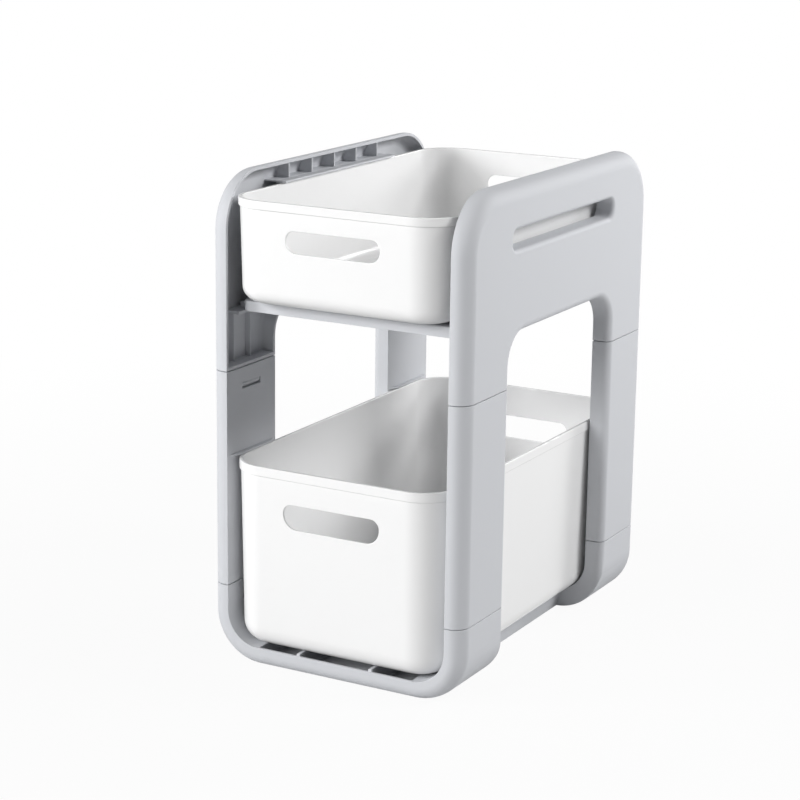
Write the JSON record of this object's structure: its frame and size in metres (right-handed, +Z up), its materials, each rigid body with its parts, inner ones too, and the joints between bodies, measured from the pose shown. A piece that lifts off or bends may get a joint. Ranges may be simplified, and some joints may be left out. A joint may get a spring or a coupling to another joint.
{
  "type": "storage rack",
  "caption": "Two-tier storage rack: plastic clip-together frame with arched end panels and handle slots, a shelf, and two open bins that pull out on rails.",
  "frame": {"origin": "middle of the footprint, on the surface that the foot pads rest on", "axes": "+Z up, the front of the rack faces -Y and the bins pull out that way, +X to the right seen from the front"},
  "size_m": [0.25, 0.376, 0.435],
  "materials": {
    "frame_plastic": "light grey, satin",
    "bin_plastic": "white, satin gloss",
    "pad_rubber": "dark grey, matt"
  },
  "bodies": {
    "frame": {"base": "frame_plastic", "post_front_left": "frame_plastic", "post_front_right": "frame_plastic", "post_rear_left": "frame_plastic", "post_rear_right": "frame_plastic", "side_panel_left": "frame_plastic", "side_panel_right": "frame_plastic", "shelf": "frame_plastic", "foot_pad_1": "pad_rubber", "foot_pad_2": "pad_rubber", "foot_pad_3": "pad_rubber", "foot_pad_4": "pad_rubber"},
    "lower_drawer": {"lower_bin": "bin_plastic"},
    "upper_drawer": {"upper_bin": "bin_plastic"}
  },
  "joints": [
    {"name": "lower_bin_slide", "type": "slide", "parent": "frame", "child": "lower_drawer", "axis": [0, -1, 0], "range_m": [0, 0.25]},
    {"name": "upper_bin_slide", "type": "slide", "parent": "frame", "child": "upper_drawer", "axis": [0, -1, 0], "range_m": [0, 0.25]}
  ]
}
